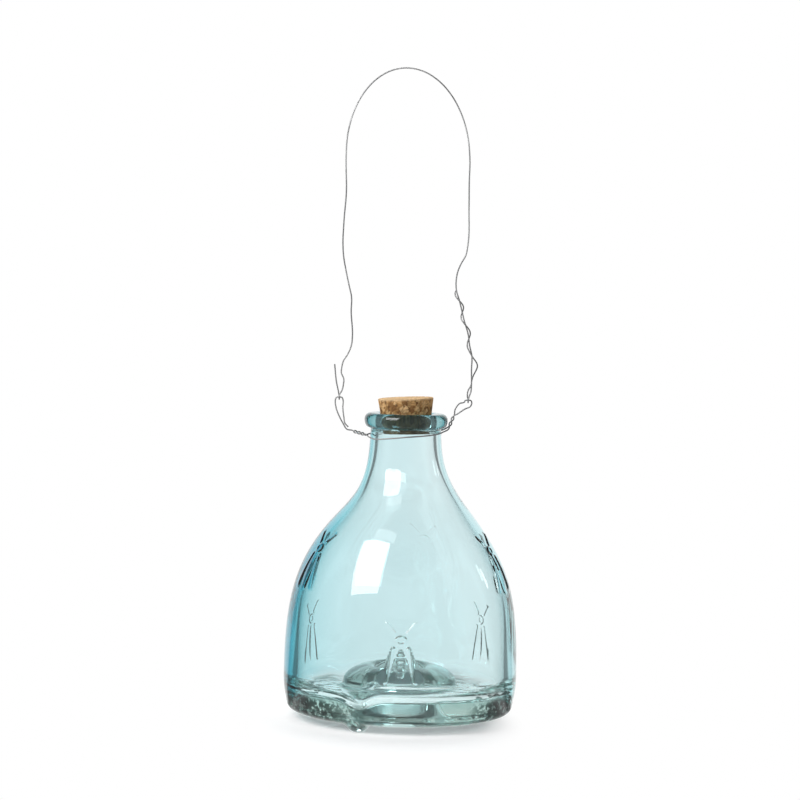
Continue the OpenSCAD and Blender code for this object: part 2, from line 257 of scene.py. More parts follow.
# %% [markdown]
# The trap also throws light down through its glass, and the table paints that light on as a glow.
# Seen through the glass, a ring under the trough has a painted glow. Seen directly, the painted
# glow is least at the feet, most round the heel and a little less outside, which paints a narrow
# contact shadow. The table itself is one face, stretched and moved into place.

# %% The painted glow near the trap, and the table
# strengths and edges of the painted glow and of the painted contact shadow
glass_glow, glass_glow_rest = 0.82, 0.12
ring_inner, ring_outer = (0.026, 0.036), (0.056, 0.068)
foot_glow, heel_glow, rim_glow = 0.18, 0.36, 0.25
contact_edge, rim_edge = (0.047, 0.060), (0.062, 0.078)
table_front, table_far, table_drop = 0.42, 6.0, 0.2 * mm

off_axis = vector_node(tree, "LENGTH", {0: place}, "Value")
ring_start = step_between(tree, off_axis, *ring_inner)
ring_end = step_between(tree, off_axis, *ring_outer, 1.0, glass_glow_rest)
painted_lit_ring = math_node(tree, "MINIMUM", ring_start, ring_end)
painted_glow = math_node(tree, "MULTIPLY", math_node(tree, "MULTIPLY", bent, glass_glow), painted_lit_ring)
painted_contact_shade = step_between(tree, off_axis, *contact_edge, foot_glow, heel_glow)
outside_heel = step_between(tree, off_axis, *rim_edge, heel_glow, rim_glow)
painted_contact_shade = math_node(tree, "MINIMUM", painted_contact_shade, outside_heel)
painted_glow = math_node(tree, "MULTIPLY_ADD", direct, painted_contact_shade, painted_glow)
lift = add_node(tree, "Emission", {"Strength": painted_glow})
near = add_node(tree, "AddShader", {0: shader.outputs[0], 1: lift.outputs[0]})
share = math_node(tree, "MULTIPLY", far_off, math_node(tree, "MAXIMUM", direct, bent))
mixed = add_node(tree, "MixShader", {0: share, 1: near.outputs[0], 2: distant.outputs[0]})
fill_inputs(tree, tree.nodes["Material Output"], {"Surface": mixed.outputs[0]})

bm = bmesh.new()
bmesh.ops.create_grid(bm, x_segments=1, y_segments=1, size=1)
bmesh.ops.scale(bm, verts=bm.verts, vec=(table_far, (table_far + table_front) / 2, 1))
bmesh.ops.translate(bm, verts=bm.verts, vec=(0, (table_far - table_front) / 2, -table_drop))
table = bpy.data.objects.new("table", bpy.data.meshes.new("table"))
bm.to_mesh(table.data)
bm.free()
table.data.materials.append(table_finish)
scene.collection.objects.link(table)
print("table: front edge", table_front, "m before the trap")

# %% [markdown]
# Three lamps show in the glass, and their places come from its highlights: the large leaning
# patch on the belly is a softbox at the upper left, a dim panel hangs above it, and the slim
# light at the right is a strip. They don't touch matt surfaces. Two wide lamps do that for the
# cork and the table, and don't show in the glass. Each is placed by its bearing from the
# front, its height and its roll in degrees, then its width and height in metres and its
# radiance.

# %% Hang the lamps
lamp_aim, lamp_distance = Vector((0, 0, 0.09)), 1.15


def softbox(name, bearing, height, roll, width, tall, radiance, matt=False):
    """A rectangular lamp that faces the bottle, for glass and metal or for matt surfaces."""
    lamp = bpy.data.lights.new(name, "AREA")
    lamp.shape = "RECTANGLE"
    lamp.size, lamp.size_y = width, tall
    lamp.energy = radiance * math.pi * width * tall
    box = bpy.data.objects.new(name, lamp)
    bearing, height, roll = math.radians(bearing), math.radians(height), math.radians(roll)
    away = Vector((
        math.sin(bearing) * math.cos(height),
        -math.cos(bearing) * math.cos(height),
        math.sin(height),
    ))
    facing = away.to_track_quat("Z", "Y").to_matrix().to_4x4() @ Matrix.Rotation(roll, 4, "Z")
    box.matrix_world = Matrix.Translation(lamp_aim + away * lamp_distance) @ facing
    box.visible_diffuse = matt
    box.visible_glossy = box.visible_transmission = not matt
    scene.collection.objects.link(box)
    print(name, "power:", round(lamp.energy, 1), "W")


softbox("key_softbox", -46, 40.5, 13.5, 0.60, 0.78, 8.0)
softbox("upper_panel", -44, 63.5, 13.5, 0.45, 0.12, 1.8)
softbox("strip_softbox", 106, 18, 0, 0.06, 0.2, 5.0)
softbox("left_light", -55, 38, 0, 0.7, 0.8, 5.2, matt=True)
softbox("back_light", 175, 62, 0, 0.9, 0.6, 2.8, matt=True)

# %% [markdown]
# ## The bottle's outline
# Thick pressed and blown glass is a body of revolution, outside and inside. Its section is one
# closed line: under the base, round the heel, up the wall, over the lip, down inside, across
# the floor and over the funnel's rim back to the entry. Only a few points drive it, and curves
# and arcs fill in the rest, close together where relief will need them. Each helper takes the
# step between its points last, and leaves out its own start, which the piece before has drawn.

# %% Helpers for outlines
measuring_steps = 16


def bezier(a, b, c, d, step):
    """Points of a Bezier curve after its start, about one step apart."""
    handles = [Vector(p) for p in (a, b, c, d)]

    def at(t):
        weights = ((1 - t) ** 3, 3 * t * (1 - t) ** 2, 3 * t * t * (1 - t), t**3)
        return sum((w * p for w, p in zip(weights, handles)), Vector((0, 0)))

    rough = [at(i / measuring_steps) for i in range(measuring_steps + 1)]
    length = sum((q - p).length for p, q in zip(rough, rough[1:]))
    count = max(2, math.ceil(length / step))
    return [at(i / count) for i in range(1, count + 1)]


def line(a, b, step):
    a, b = Vector(a), Vector(b)
    count = max(1, math.ceil((b - a).length / step))
    return [a.lerp(b, i / count) for i in range(1, count + 1)]


def arc(centre, radius, start, end, step):
    """Points of an arc after its start; angles in degrees, outwards is 0 and up is 90."""
    count = max(2, math.ceil(radius * math.radians(abs(end - start)) / step))
    angles = [math.radians(start + (end - start) * i / count) for i in range(1, count + 1)]
    return [Vector(centre) + radius * Vector((math.cos(a), math.sin(a))) for a in angles]


# %% Sizes of the bottle
belly_r, belly_z = glass_high.x - 0.02 * mm, 24 * mm
glass_h = glass_high.z
heel_r, heel_round = 63.2 * mm, 5 * mm
base_lift, floor_z = 4 * mm, 15.3 * mm
chamber_r, floor_round = 58 * mm, 10 * mm
shoulder = Vector((38.2, 113)) * mm
shoulder_wall, shoulder_lean = 4.2 * mm, math.radians(40)
neck_r, neck_bore_r = 19.7 * mm, 15.5 * mm
lip_r, lip_h, lip_round = 23.2 * mm, 8.4 * mm, 3.5 * mm
mouth_r, mouth_round, mouth_depth = 14.3 * mm, 2 * mm, 4.5 * mm
funnel_z, funnel_r, funnel_foot = 28.5 * mm, 31.6 * mm, 3.2 * mm
rim_r, throat_r, entry_r, under_z = 3.8 * mm, 13 * mm, 23 * mm, 6.5 * mm

lip_low_z = glass_h - lip_h
lip_mid_z = glass_h - lip_round
mouth_low_z, bore_z = glass_h - mouth_depth, lip_low_z - 1 * mm
rise_along = Vector((-math.sin(shoulder_lean), math.cos(shoulder_lean)))
wall_across = Vector((math.cos(shoulder_lean), math.sin(shoulder_lean)))
shoulder_in = shoulder - shoulder_wall * wall_across
print("belly", round(2 * belly_r / mm, 1), "mm across, lip from", round(lip_low_z / mm, 1), "mm up")

# %% [markdown]
# The wall's outside is needed twice: in the section, and again in very fine steps to lay the
# insects on. So it is a function of its steps. The pulls are the lengths of the curves'
# handles, and the inside of the wall uses the same ones.

# %% The wall's outside
heel_pull, low_pull = Vector((1, 5)) * mm, 7 * mm
belly_pull = 0.48 * (shoulder.y - belly_z)
shoulder_pull = 0.39 * (shoulder.y - belly_z)
throat_pull = 0.31 * (lip_low_z - shoulder.y)
neck_pull = 0.58 * (lip_low_z - shoulder.y)


def wall_outline(low_step, belly_step, neck_step):
    """The outside of the wall from the heel up to the lip."""
    heel_top = Vector((heel_r, base_lift + heel_round))
    return (
        bezier(heel_top, heel_top + heel_pull,
               (belly_r, belly_z - low_pull), (belly_r, belly_z), low_step)
        + bezier((belly_r, belly_z), (belly_r, belly_z + belly_pull),
                 shoulder - shoulder_pull * rise_along, shoulder, belly_step)
        + bezier(shoulder, shoulder + throat_pull * rise_along,
                 (neck_r, lip_low_z - neck_pull), (neck_r, lip_low_z), neck_step)
    )


wall = wall_outline(1.2 * mm, 1.5 * mm, 1.6 * mm)
print("wall:", len(wall), "points up to", round(wall[-1].y / mm, 1), "mm")

# %% The outside, from the base to the mouth
heel_in = heel_r - heel_round
under = line((entry_r, under_z), (heel_in, base_lift), 1.4 * mm)
heel = arc((heel_in, base_lift + heel_round), heel_round, -90, 0, 1.0 * mm)
lip_in, mouth_out = lip_r - lip_round, mouth_r + mouth_round
lip = (
    bezier((neck_r, lip_low_z), (neck_r + 0.7 * (lip_r - neck_r), lip_low_z),
           (lip_r, lip_mid_z - 0.55 * (lip_h - lip_round)), (lip_r, lip_mid_z), 0.8 * mm)
    + arc((lip_in, lip_mid_z), lip_round, 0, 90, 0.7 * mm)
    + line((lip_in, glass_h), (mouth_out, glass_h), 1.2 * mm)
    + arc((mouth_out, glass_h - mouth_round), mouth_round, 90, 180, 0.6 * mm)
)
mouth = line((mouth_r, glass_h - mouth_round), (mouth_r, mouth_low_z), 1.2 * mm) + bezier(
    (mouth_r, mouth_low_z), (mouth_r, mouth_low_z - 2 * mm),
    (neck_bore_r, bore_z + 2.4 * mm), (neck_bore_r, bore_z), 0.8 * mm,
)
print("points under the base, on heel, lip and mouth:", *map(len, (under, heel, lip, mouth)))

# %% The inside, and the closed section in zones
floor_in, floor_top = chamber_r - floor_round, floor_z + floor_round
foot_r = funnel_r + 2.4 * funnel_foot
bore = (
    bezier((neck_bore_r, bore_z), (neck_bore_r, lip_low_z - neck_pull),
           shoulder_in + throat_pull * rise_along, shoulder_in, 1.8 * mm)
    + bezier(shoulder_in, shoulder_in - shoulder_pull * rise_along,
             (chamber_r, belly_z + belly_pull), (chamber_r, belly_z + floor_round), 2.0 * mm)
    + line((chamber_r, belly_z + floor_round), (chamber_r, floor_top), 2.0 * mm)
)
floor = (
    arc((floor_in, floor_top), floor_round, 0, -90, 1.0 * mm)
    + line((floor_in, floor_z), (foot_r, floor_z), 1.4 * mm)
)
rim_mid = (throat_r + rim_r, funnel_z - rim_r)
dome_low = (funnel_r - 0.2 * mm, floor_z + 1.8 * funnel_foot)
funnel = (
    bezier((foot_r, floor_z), (funnel_r + 0.8 * funnel_foot, floor_z),
           (funnel_r + 0.1 * mm, floor_z + 0.8 * funnel_foot), dome_low, 0.8 * mm)
    + bezier(dome_low, (funnel_r - 0.6 * mm, funnel_z - 4 * mm),
             (funnel_r - 7.5 * mm, funnel_z), (throat_r + rim_r, funnel_z), 1.1 * mm)
    + arc(rim_mid, rim_r, 90, 180, 0.8 * mm)
    + bezier((throat_r, rim_mid[1]), (throat_r, rim_mid[1] - 8 * mm),
             (entry_r - 7 * mm, under_z), (entry_r, under_z), 1.3 * mm)
)
section = {"under": under, "heel": heel, "wall": wall, "lip": lip, "mouth": mouth,
           "bore": bore, "floor": floor, "funnel": funnel}
print("section:", {zone: len(points) for zone, points in section.items()})

# %% [markdown]
# ## Spinning the bottle
# The section is drawn once as a loop of edges and spun a full turn. Each point takes along
# what it belongs to in layers of the mesh, so that later steps can tell the outside of the
# wall from the floor: a mask for each zone, and how far along the wall a point lies.

# %% Spin the section
bottle_turns = 180


def full_spin(shape, steps):
    """Spins an outline in front of the upright axis once round it and closes it."""
    bmesh.ops.spin(
        shape, geom=shape.verts[:] + shape.edges[:], cent=(0, 0, 0), axis=(0, 0, 1),
        dvec=(0, 0, 0), angle=2 * math.pi, steps=steps,
        use_merge=True, use_normal_flip=False, use_duplicate=False,
    )


bm = bmesh.new()
masks = {zone: bm.verts.layers.float.new(zone) for zone in section}
along = bm.verts.layers.float.new("along")
ring = []
travelled = 0.0
for zone, points in section.items():
    for point in points:
        if ring and zone == "wall":
            travelled += (Vector((-ring[-1].co.y, ring[-1].co.z)) - point).length
        corner = bm.verts.new((0, -point.x, point.y))
        corner[masks[zone]] = 1.0
        corner[along] = travelled
        ring.append(corner)
for first, second in zip(ring, ring[1:] + ring[:1]):
    bm.edges.new((first, second))
full_spin(bm, bottle_turns)
bmesh.ops.recalc_face_normals(bm, faces=bm.faces)
closed = all(e.is_manifold for e in bm.edges)
print("spun:", len(bm.verts), "points,", len(bm.faces), "faces, closed:", closed)


def part(v, *zones):
    """How much of a point belongs to some zones, from 0 to 1."""
    return sum(v[masks[zone]] for zone in zones)


# %% [markdown]
# ## Insects on the wall
# Six insects are pressed into the mould, three low and three on the shoulder. Bump in the
# material would be lost on the outline, so they are real relief. An insect is drawn in
# millimetres on a flat sheet as the highest of its ridges: a ring and a boss for the head, a
# banded body, two wings and two feelers. Soft ones are wider and flatter, as old moulds give.

# %% The height of an insect
relief = 0.78
head_half = Vector((3.1, 2.4))
body_half, body_mid, band_apart = Vector((2.5, 8.9)), -13.4, 2.7


def ease(x):
    x = min(1.0, max(0.0, x))
    return x * x * (3 - 2 * x)


def ridge(distance, half_width, softness):
    """A rounded ridge: 1 on its crest, 0 at its foot, wider and flatter when soft."""
    share = distance / (half_width * softness)
    return max(0.0, 1 - share * share) ** (0.65 * softness * softness)


def stroke(point, start, end, start_half, end_half, softness):
    """A ridge along a line that widens from start to end, with round ends."""
    start, end = Vector(start), Vector(end)
    share = (point - start).dot(end - start) / (end - start).length_squared
    share = max(0.0, min(1.0, share))
    distance = (point - start.lerp(end, share)).length
    return ridge(distance, start_half + (end_half - start_half) * share, softness)


def insect_height(point, softness):
    """Relief in mm at a point in mm: head at the origin, feelers up, wings down."""
    off_head = math.hypot(point.x / head_half.x, point.y / head_half.y)
    head = ridge(2.5 * abs(off_head - 0.78), 0.85, softness)
    boss = 0.45 * ridge(off_head, 0.9, 1)
    off_body = math.hypot(point.x / body_half.x, (point.y - body_mid) / body_half.y)
    band = 0.93 + 0.07 * math.cos(2 * math.pi * point.y / band_apart)
    height = max(head, boss, band * ridge(off_body, 1.0, softness))
    for side in (-1, 1):
        wing = stroke(point, (4.2 * side, -4.4), (8.4 * side, -21.6), 1.15, 2.0, softness)
        feeler = stroke(point, (3.5 * side, 3.9), (7.6 * side, 9.2), 1.15, 0.95, softness)
        height = max(height, wing, feeler)
    return relief * height


# %% [markdown]
# Each insect has a bearing in degrees round from the front, the height of its head in millimetres,
# a strength, a softness, and how many layers of painted shade darken it blue, for the shoulder
# insects that look dark through the glass. The drawing is laid on the wall by the way along the
# outline, so that it isn't squeezed where the shoulder leans.

# %% Where the insects are
Insect = namedtuple("Insect", "bearing head_z strength softness bluer")
insects = [
    Insect(0, 51.5, 1, 1, 0), Insect(128, 47.5, 1, 1.25, 0), Insect(242, 47.5, 1, 1.25, 0),
    Insect(71, 96, 0.7, 1.9, 1.0), Insect(165, 96, 0.35, 1.3, 0), Insect(295, 96, 0.5, 1.9, 3.5),
]
patch_half, patch_up, patch_down = 11 * mm, 10.8 * mm, 25 * mm
fine_wall = wall_outline(0.2 * mm, 0.2 * mm, 0.2 * mm)
fine_heights = [p.y for p in fine_wall]
heights_along = sorted((v.co.z, v[along]) for v in ring if part(v, "wall") > 0.5)


def wall_radius(z):
    upper = min(len(fine_wall) - 1, max(1, bisect.bisect(fine_heights, z)))
    low, high = fine_wall[upper - 1], fine_wall[upper]
    return low.x + (high.x - low.x) * (z - low.y) / (high.y - low.y)


def along_at(z):
    upper = bisect.bisect(heights_along, (z, 0.0))
    (z0, s0), (z1, s1) = heights_along[upper - 1], heights_along[upper]
    return s0 + (s1 - s0) * (z - z0) / (z1 - z0)


def on_insect(v, insect):
    """Where a point of the wall lies on an insect's drawing, in metres."""
    turned = math.atan2(v.co.x, -v.co.y) - math.radians(insect.bearing)
    turned = (turned + math.pi) % (2 * math.pi) - math.pi
    return Vector((turned * v.co.xy.length, v[along] - along_at(insect.head_z * mm)))


def in_patch(spot):
    return abs(spot.x) < patch_half and -patch_down < spot.y < patch_up


def on_patch(face, insect):
    return all(part(v, "wall") >= 0.5 and in_patch(on_insect(v, insect)) for v in face.verts)


# %% [markdown]
# The faces under each insect are divided finely, laid back on the exact wall, and pushed out
# by the insect's height. All heights are measured before the first point moves, so that one
# push doesn't change the next.

# %% Press the insects into the wall
for insect in insects:
    patch = [f for f in bm.faces if on_patch(f, insect)]
    edges = list({e for f in patch for e in f.edges})
    bmesh.ops.subdivide_edges(bm, edges=edges, cuts=4, use_grid_fill=True)
blue = bm.verts.layers.float.new("blue")
outside = [v for v in bm.verts if part(v, "wall") > 0.999]
for v in outside:
    flat = Vector((v.co.x, v.co.y, 0)).normalized()
    v.co = flat * wall_radius(v.co.z) + Vector((0, 0, v.co.z))
bm.normal_update()
pushed = []
for v in outside:
    for insect in insects:
        spot = on_insect(v, insect)
        drawn = insect_height(spot / mm, insect.softness) if in_patch(spot) else 0
        if drawn > 0:
            pushed.append((v, v.normal * insect.strength * drawn * mm))
            # painted shade: extra blue tint where a shoulder insect is raised
            v[blue] = insect.bluer * min(1.0, 2 * drawn / relief)
for v, push in pushed:
    v.co += push
print("insects:", len(insects), "raised points:", len(pushed), "faces now:", len(bm.faces))

# %% [markdown]
# ## Feet
# The bottle stands on three nubs that were pulled from the hot heel, a third of a turn apart.
# Separate feet would leave a seam in the glass. Instead the faces round each foot are divided
# once and their points drawn down to the table, all the way under the pad and less and less
# towards the edge of the nub.

# %% Pull the feet
foot_bearing, foot_circle, pad_r, nub_r = -24, 54.5 * mm, 3 * mm, 8.2 * mm
pull_top, pull_fade = 11 * mm, 6 * mm
feet = [math.radians(foot_bearing + 120 * i) for i in range(3)]


def off_foot(co, circle, bearing):
    """Distance in plan from a place on a circle."""
    middle = Vector((circle * math.sin(bearing), -circle * math.cos(bearing)))
    return (co.xy - middle).length


def near_foot(face):
    centre = face.calc_center_median()
    low = all(part(v, "under", "heel") > 0.5 for v in face.verts)
    return low and any(off_foot(centre, foot_circle, b) < 1.3 * nub_r for b in feet)


edges = list({e for f in bm.faces if near_foot(f) for e in f.edges})
bmesh.ops.subdivide_edges(bm, edges=edges, cuts=1, use_grid_fill=True)
for v in bm.verts:
    if part(v, "under", "heel") > 0.3:
        for bearing in feet:
            inward = (nub_r - off_foot(v.co, foot_circle, bearing)) / (nub_r - pad_r)
            v.co.z *= 1 - ease(inward) * ease((pull_top - v.co.z) / pull_fade)
print("feet:", len(feet), "lowest point:", round(min(v.co.z for v in bm.verts) / mm, 3), "mm")

# %% [markdown]
# ## Flow
# Glass that is blown by hand is never quite true. The leaning highlight on the neck shows a
# shallow dent at its front left, a little lower and deeper inside, and the outline sways to
# one side at the throat. A bell curve of the distance fades each of them out.

# %% Dent and sway the neck
dent_z, dent_reach, dent_bearing, dent_spread = 140 * mm, 9 * mm, -20, 40
dent, deeper_inside, lower_inside = 2.1 * mm, 0.7 * mm, 2.5 * mm
sway_z, sway_reach, sway = 124 * mm, 16 * mm, 1.3 * mm


def bell(distance, reach):
    return math.exp(-((distance / reach) ** 2))


def bearing_of(v):
    """Degrees round from the front, positive to the right."""
    return math.degrees(math.atan2(v.co.x, -v.co.y))


def bend_neck(v, across):
    if part(v, "wall", "bore") > 0.5:
        inside = part(v, "bore")
        falloff = bell(v.co.z - dent_z + lower_inside * inside, dent_reach)
        falloff *= bell(bearing_of(v) - dent_bearing, dent_spread)
        v.co -= across * (dent + deeper_inside * inside) * falloff
    v.co.x += sway * bell(v.co.z - sway_z, sway_reach)


# %% [markdown]
# Only the outside touches the mould, so the inner surfaces stay wavy. The floor tilts a little,
# sinks over each foot and ripples, and so do the chamber and the funnel, by a few tenths of a
# millimetre. Under the base the glass is rougher towards the sides, with a shallow groove near
# the heel. Smooth noise makes all these waves.

# %% Let the inside flow
tilt, tilt_from, tilt_fade = 1.1 * mm, 24 * mm, 10 * mm
foot_dip, dip_circle, dip_reach = 4.2 * mm, 50 * mm, 8 * mm
floor_wave, funnel_wave, wave_size = 0.25 * mm, 0.1 * mm, 14 * mm
chamber_wave, waves_round, waves_up = 0.22 * mm, 2.6, 45 * mm
calm_z, calm_fade = 150 * mm, 20 * mm
under_wave, under_wave_size, under_seed = (0.1, 1.9), 6.5 * mm, Vector((3, 1, 7))
calm_half, calm_side = 8 * mm, 40 * mm
groove, groove_r, groove_reach = 1.4 * mm, 50 * mm, 2.8 * mm


def wave_under(v):
    rough = under_wave[0] + under_wave[1] * ease((abs(v.co.x) - calm_half) / calm_side)
    rough *= ease((v.co.z - base_lift) / mm + 0.4)
    v.co.z += rough * mm * noise.noise(v.co / under_wave_size + under_seed)
    v.co.z += groove * bell(v.co.xy.length - groove_r, groove_reach)


def flow(v, across):
    if part(v, "floor", "funnel") > 0.5:
        v.co.z -= tilt * v.co.y / chamber_r * ease((v.co.xy.length - tilt_from) / tilt_fade)
    if part(v, "floor") > 0.5:
        for bearing in feet:
            v.co.z -= foot_dip * bell(off_foot(v.co, dip_circle, bearing), dip_reach)
        v.co.z += floor_wave * noise.noise(v.co / wave_size)
    elif part(v, "bore") > 0.5:
        calm = ease((calm_z - v.co.z) / calm_fade)
        spot = Vector((across.x * waves_round, across.y * waves_round, v.co.z / waves_up))
        v.co += across * calm * chamber_wave * noise.noise(spot)
    elif part(v, "funnel") > 0.5:
        v.co += across * funnel_wave * noise.noise(v.co / wave_size)
    elif part(v, "under") > 0.5 and v.co.z > base_lift:
        wave_under(v)


for v in bm.verts:
    across = Vector((v.co.x, v.co.y, 0)).normalized()
    bend_neck(v, across)
    flow(v, across)
floor_heights = [v.co.z for v in bm.verts if part(v, "floor") > 0.5]
print("lowest point of the floor:", round(min(floor_heights) / mm, 2), "mm")

# %% [markdown]
# ## The tint
# Only the outside carries the blue tint, in layers, with more of them on the lip. More layers
# towards the left and at the left edge are painted shade, and fewer towards the right are painted
# light; more on two of the insects are painted shade too. The heel and the inside are plain,
# slightly green bottle glass, greyer where it is thick: in the heel, the funnel's dome and the lip.
# In the heel and the dome that grey is also painted shade, darkest at the dome's left and right
# ends. The low heel is crumpled at both sides and round the front foot, and streaky in between, and
# painted shade darkens it there in blotches and streaks. Layers of the mesh hold how much of each a
# point has, and the material reads them as attributes, which follow the surface exactly.

# %% Count the layers of tint
tint_low, tint_fade = 10 * mm, 7 * mm
paler_from, paler_fade = 85 * mm, 45 * mm
left_shade_tint, right_light_tint, lip_tint, high_loss = 1.5, 0.35, 1.5, 0.15
edge_from, edge_fade = 0.8, 0.18


def tint_of(v):
    leftness = -v.co.x / max(v.co.xy.length, mm)
    low = 1 - ease((v.co.z - paler_from) / paler_fade)
    # painted shade: more layers to the left and at the left edge; painted light: fewer to the right
    if leftness > 0:
        side = left_shade_tint * leftness**3 * (0.2 + 0.8 * low)
    else:
        side = right_light_tint * leftness
    edge = (0.1 + 0.8 * low) * ease((leftness - edge_from) / edge_fade)
    edge += lip_tint * part(v, "lip") - high_loss * (1 - low)
    skin = min(1.0, part(v, "wall", "lip", "heel")) * ease((v.co.z - tint_low) / tint_fade)
    return skin * (1 + side + edge + v[blue])


# %% Paint the layers
heel_top_z, heel_fade, crumple_top_z, crumple_fade = 7 * mm, 6 * mm, 13.5 * mm, 4 * mm
# the heel's and the dome's grey is partly their thick glass and partly painted shade; the dome's
# left and right ends get more painted shade
heel_grey_and_shade, lip_grey, dome_grey_and_shade, dome_side_shade = 0.5, 0.7, 0.7, 1.4
dome_side, dome_from, dome_fade = 28 * mm, 18 * mm, 4 * mm
# middle and half width in degrees, how far it spreads, and its share
crumple_places = ((-55, 22, 1.6, 1.0), (62, 18, 1.6, 1.0), (-24, 5, 2.0, 0.45))

tint = bm.verts.layers.float.new("tint")
thick = bm.verts.layers.float.new("thick")
streak_shade = bm.verts.layers.float.new("streak_shade")
crumple_shade = bm.verts.layers.float.new("crumple_shade")
for v in bm.verts:
    v[tint] = tint_of(v)
    low_wall = min(1.0, part(v, "heel", "wall"))
    heel_part = low_wall * (1 - ease((v.co.z - heel_top_z) / heel_fade))
    dome = part(v, "funnel") * ease((v.co.z - dome_from) / dome_fade)
    dome *= dome_grey_and_shade + dome_side_shade * ease(abs(v.co.x) / dome_side)
    v[thick] = heel_grey_and_shade * heel_part + dome + lip_grey * part(v, "lip")
    # painted shade: dark blotches where the heel is crumpled, streaks between
    crumple = max(
        share * ease(spread - abs(bearing_of(v) - middle) / half)
        for middle, half, spread, share in crumple_places
    )
    v[crumple_shade] = low_wall * (1 - ease((v.co.z - crumple_top_z) / crumple_fade)) * crumple
    v[streak_shade] = heel_part * (1 - crumple)
print("most layers of tint:", round(max(v[tint] for v in bm.verts), 2))

# %% [markdown]
# ## The glass
# The glass is smooth and clear, so the shader is all transmission with no roughness. The tint is a
# thin skin, which absorption in the volume can't give. A colour raised to a power is that colour
# looked through so many times, and the Gamma node does just that: its power is the count of layers,
# and a view that slants through the skin counts more of them. The same trick greys the thick glass
# and paints shade into the heel and the dome, with fine noise for the painted dark blotches on the
# crumpled heel and noise drawn out sideways for the painted streaks. A little absorption in the
# volume gives the body its green.

# %% A colour for the glass
clear_glass = (0.965, 0.995, 1.0, 1)
aqua = (0.72, 0.905, 0.935, 1)
bottle_grey = (0.59, 0.64, 0.63, 1)
body_green, body_density = (0.61, 0.76, 0.72, 1), 16.0
slant_range, slant_layers = (0.42, 0.75), 4.0

glass_finish, tree, shader = new_finish("aqua_glass", {
    "Roughness": 0.0, "IOR": 1.5, "Transmission Weight": 1.0,
})
grazing = add_node(tree, "LayerWeight", {"Blend": 0.5}).outputs["Facing"]
slanting = step_between(tree, grazing, *slant_range, 1.0, 1.0 + slant_layers)
layers = math_node(tree, "MULTIPLY", layer_value(tree, "tint"), slanting)
tinted = add_node(tree, "Gamma", {"Color": aqua, "Gamma": layers}).outputs[0]
place = add_node(tree, "TexCoord").outputs["Object"]
chips = noise_node(tree, place, 290.0, 3.0, 0.65)
drawn_out = add_node(tree, "Mapping", {"Vector": place, "Scale": (40, 40, 420)})
streaks = noise_node(tree, drawn_out.outputs[0], 1.0, 2.0)
depth = layer_value(tree, "thick")
# painted shade in blotches and streaks on the heel
for name, pattern, low, high, strength in (
    ("crumple_shade", chips, 0.4, 0.54, 10.0), ("streak_shade", streaks, 0.46, 0.66, 3.5),
):
    dark = step_between(tree, pattern.outputs["Fac"], low, high, 0.0, strength)
    depth = math_node(tree, "MULTIPLY_ADD", layer_value(tree, name), dark, depth)
dimmed = add_node(tree, "Gamma", {"Color": bottle_grey, "Gamma": depth}).outputs[0]
tinted = blend_colours(tree, 1.0, tinted, dimmed, "MULTIPLY")
tinted = blend_colours(tree, 1.0, clear_glass, tinted, "MULTIPLY")
fill_inputs(tree, shader, {"Base Color": tinted})
absorbed = add_node(tree, "VolumeAbsorption", {"Color": body_green, "Density": body_density})
fill_inputs(tree, tree.nodes["Material Output"], {"Volume": absorbed.outputs[0]})
print("glass:", len(tree.nodes), "nodes")

# %% [markdown]
# A finished mesh becomes a piece of the trap: it is shaded smooth, takes its material, rides on
# the body that carries it and stands for its plain solid. Every piece ends this way.

# %% Finish the bottle
def finish_mesh(name, shape, finish, body, node):
    """Turns a bmesh into a smooth piece that rides on a body and stands for a CAD node."""
    mesh = bpy.data.meshes.new(name)
    bmesh.ops.recalc_face_normals(shape, faces=shape.faces)
    shape.to_mesh(mesh)
    shape.free()
    mesh.shade_smooth()
    mesh.materials.append(finish)
    piece = bpy.data.objects.new(name, mesh)
    scene.collection.objects.link(piece)
    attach(piece, body)
    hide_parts(node)
    print(name, "triangles:", sum(len(p.vertices) - 2 for p in mesh.polygons))


finish_mesh("bottle", bm, glass_finish, "bottle", "glass_bottle")

# %% [markdown]
# ## The cork
# The stopper is pressed from cork granules: tan chips of two or three millimetres, lighter and
# darker, with dark gaps and a few crumbs missing. A cone would do for the shape, but its
# outline is spun instead, so that rounded edges and even rows of faces come with it.

# %% Model the cork
cork_h, cork_proud, cork_taper = 19.5 * mm, 8.5 * mm, math.radians(7.4)
cork_edge, cork_fit, cork_turns = 0.7 * mm, 0.25 * mm, 144
cork_top = cork_proud + mouth_round
cork_bottom = cork_top - cork_h


def cork_radius(z):
    return mouth_r - cork_fit + z * math.tan(cork_taper)


low_r, high_r = cork_radius(cork_bottom), cork_radius(cork_top)
cork_line = (
    [Vector((0, cork_bottom))]
    + line((0, cork_bottom), (low_r - cork_edge, cork_bottom), 0.8 * mm)
    + bezier((low_r - cork_edge, cork_bottom), (low_r - 0.3 * cork_edge, cork_bottom),
             (low_r, cork_bottom + 0.3 * cork_edge), (low_r, cork_bottom + cork_edge), 0.35 * mm)
    + line((low_r, cork_bottom + cork_edge), (high_r, cork_top - cork_edge), 0.6 * mm)
    + bezier((high_r, cork_top - cork_edge), (high_r, cork_top - 0.3 * cork_edge),
             (high_r - 0.3 * cork_edge, cork_top), (high_r - cork_edge, cork_top), 0.35 * mm)
    + line((high_r - cork_edge, cork_top), (0, cork_top), 0.8 * mm)
)
bm = bmesh.new()
points = [bm.verts.new((0, -p.x, p.y)) for p in cork_line]
for first, second in zip(points, points[1:]):
    bm.edges.new((first, second))
full_spin(bm, cork_turns)
bmesh.ops.remove_doubles(bm, verts=bm.verts, dist=0.01 * mm)
bmesh.ops.recalc_face_normals(bm, faces=bm.faces)
bm.normal_update()
